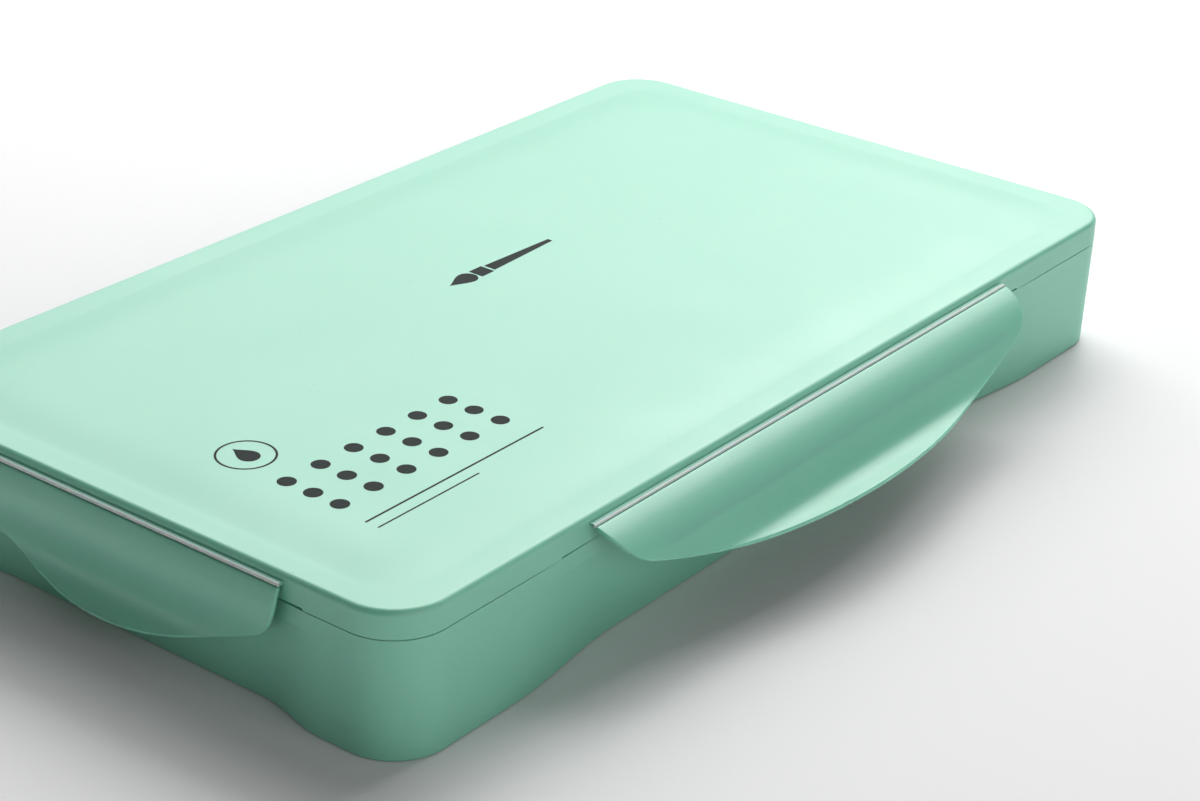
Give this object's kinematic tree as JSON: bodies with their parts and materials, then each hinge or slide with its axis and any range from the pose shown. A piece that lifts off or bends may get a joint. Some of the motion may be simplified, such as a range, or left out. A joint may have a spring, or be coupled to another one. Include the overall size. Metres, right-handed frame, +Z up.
{
  "type": "paint case",
  "caption": "Flat rectangular gouache case: a scooped tray of sealed jelly paint cups under a lift-off lid, held by wide wavy snap flaps on living hinges.",
  "frame": {"origin": "centre of the tray's flat underside, in the plane it rests on", "axes": "+X along the long side, -Y towards the front flap that stands open, +Z up out of the lid"},
  "size_m": [0.2958, 0.1885, 0.0362],
  "materials": {
    "case": "fine matt polypropylene",
    "living_hinge": "polypropylene, stretched whitish",
    "seal": "translucent silicone",
    "cup": "thin moulded plastic",
    "film": "clear heat-sealed film",
    "gouache_white": "thick opaque paste",
    "gouache_lemon_yellow": "thick opaque paste",
    "gouache_deep_yellow": "thick opaque paste",
    "gouache_orange": "thick opaque paste",
    "gouache_vermilion": "thick opaque paste",
    "gouache_crimson": "thick opaque paste",
    "gouache_rose_pink": "thick opaque paste",
    "gouache_skin_tone": "thick opaque paste",
    "gouache_violet": "thick opaque paste",
    "gouache_ultramarine": "thick opaque paste",
    "gouache_sky_blue": "thick opaque paste",
    "gouache_prussian_blue": "thick opaque paste",
    "gouache_turquoise": "thick opaque paste",
    "gouache_grass_green": "thick opaque paste",
    "gouache_deep_green": "thick opaque paste",
    "gouache_yellow_ochre": "thick opaque paste",
    "gouache_burnt_sienna": "thick opaque paste",
    "gouache_black": "thick opaque paste"
  },
  "bodies": {
    "base": {"base_tray": "case", "cup_01": "cup", "cup_02": "cup", "cup_03": "cup", "cup_04": "cup", "cup_05": "cup", "cup_06": "cup", "cup_07": "cup", "cup_08": "cup", "cup_09": "cup", "cup_10": "cup", "cup_11": "cup", "cup_12": "cup", "cup_13": "cup", "cup_14": "cup", "cup_15": "cup", "cup_16": "cup", "cup_17": "cup", "cup_18": "cup", "paint_01": "gouache_white", "paint_02": "gouache_lemon_yellow", "paint_03": "gouache_deep_yellow", "paint_04": "gouache_orange", "paint_05": "gouache_vermilion", "paint_06": "gouache_crimson", "paint_07": "gouache_rose_pink", "paint_08": "gouache_skin_tone", "paint_09": "gouache_violet", "paint_10": "gouache_ultramarine", "paint_11": "gouache_sky_blue", "paint_12": "gouache_prussian_blue", "paint_13": "gouache_turquoise", "paint_14": "gouache_grass_green", "paint_15": "gouache_deep_green", "paint_16": "gouache_yellow_ochre", "paint_17": "gouache_burnt_sienna", "paint_18": "gouache_black", "peel_films": "film"},
    "lid": {"lid_shell": "case", "lid_gasket": "seal", "front_hinge_web": "living_hinge", "back_hinge_web": "living_hinge", "left_hinge_web": "living_hinge", "right_hinge_web": "living_hinge"},
    "front_latch": {"front_flap": "case"},
    "back_latch": {"back_flap": "case"},
    "left_latch": {"left_flap": "case"},
    "right_latch": {"right_flap": "case"}
  },
  "joints": [
    {"name": "lid_lift", "type": "slide", "parent": "base", "child": "lid", "axis": [0, 0, 1], "range_m": [0, 0.06]},
    {"name": "front_flap_hinge", "type": "hinge", "parent": "lid", "child": "front_latch", "pos_m": [0, -0.08185, 0.0333], "axis": [-1, 0, 0], "range_deg": [-47.6, 70], "stiffness_Nm_per_rad": 0.03},
    {"name": "back_flap_hinge", "type": "hinge", "parent": "lid", "child": "back_latch", "pos_m": [0, 0.08185, 0.0333], "axis": [1, 0, 0], "range_deg": [-2.6, 115]},
    {"name": "left_flap_hinge", "type": "hinge", "parent": "lid", "child": "left_latch", "pos_m": [-0.1436, 0, 0.0333], "axis": [0, 1, 0], "range_deg": [-2.6, 115]},
    {"name": "right_flap_hinge", "type": "hinge", "parent": "lid", "child": "right_latch", "pos_m": [0.1436, 0, 0.0333], "axis": [0, -1, 0], "range_deg": [-2.6, 115]}
  ]
}
